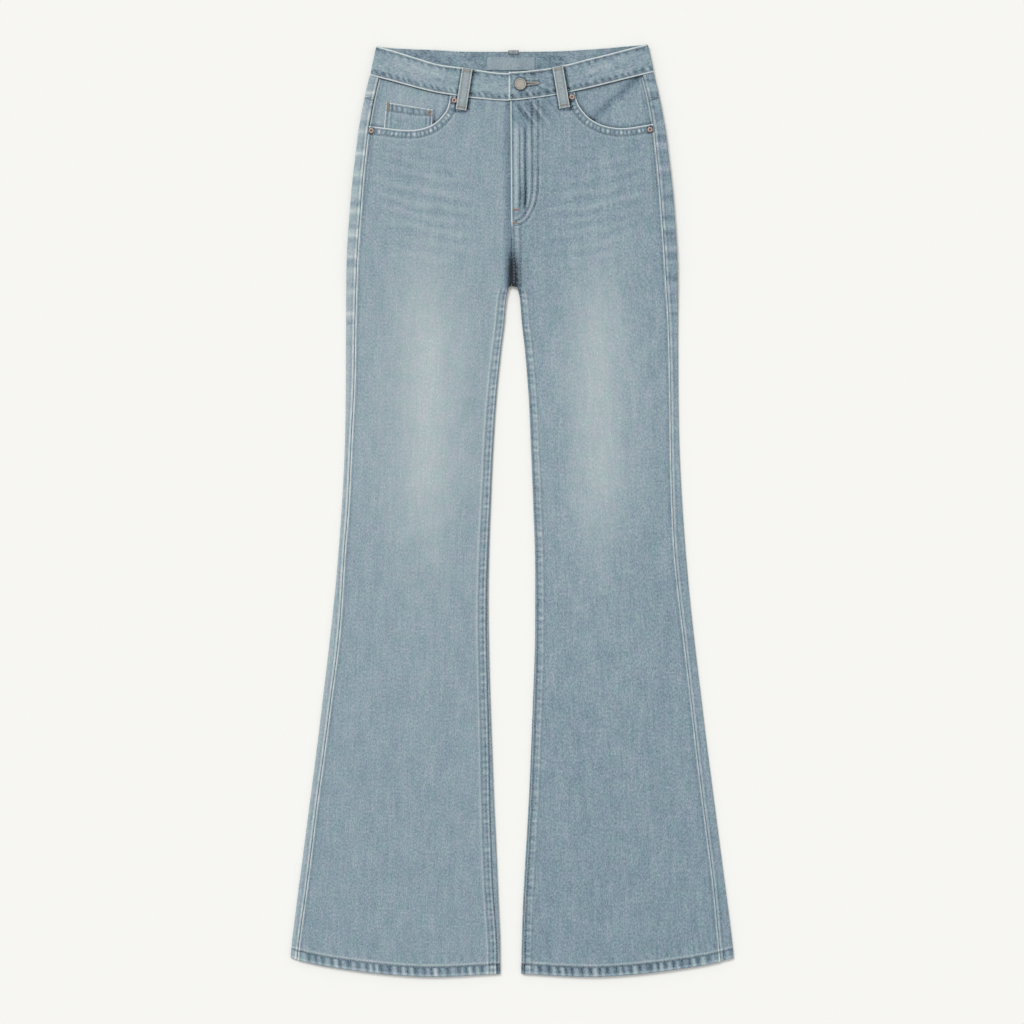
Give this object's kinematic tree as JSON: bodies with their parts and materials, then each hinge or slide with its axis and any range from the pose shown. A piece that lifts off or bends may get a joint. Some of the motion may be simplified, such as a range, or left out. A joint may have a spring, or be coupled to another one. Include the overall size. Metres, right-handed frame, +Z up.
{
  "type": "bootcut jeans",
  "caption": "Light denim jeans with a flared leg, laid flat front up: panels, yokes, waistband, belt loops, scoop pockets and turned hems",
  "frame": {"origin": "centre of the garment's bounding box in plan, on the floor that it lies on", "axes": "+X to the wearer's left, +Y towards the waist, +Z up from the floor through the cloth, front up"},
  "size_m": [0.5326, 1.1197, 0.0114],
  "materials": {
    "denim": "washed light blue denim twill",
    "tape": "woven zip tape",
    "label": "plain woven patch",
    "button_metal": "worn warm grey metal",
    "rivet_metal": "worn copper"
  },
  "bodies": {
    "root": {"front_right": "denim", "front_left": "denim", "back_right": "denim", "back_left": "denim", "yoke_right": "denim", "yoke_left": "denim", "waistband": "denim", "facing_right": "denim", "facing_left": "denim", "coin_pocket": "denim", "pocket_back_right": "denim", "pocket_back_left": "denim", "loop_front_right": "denim", "loop_front_left": "denim", "loop_back_right": "denim", "loop_back_left": "denim", "loop_back_centre": "denim", "fly_shield": "denim", "zip_tape": "tape", "zip_slider": "rivet_metal", "waist_label": "label", "button": "button_metal", "rivet_top_right": "rivet_metal", "rivet_side_right": "rivet_metal", "rivet_top_left": "rivet_metal", "rivet_side_left": "rivet_metal"}
  },
  "joints": []
}
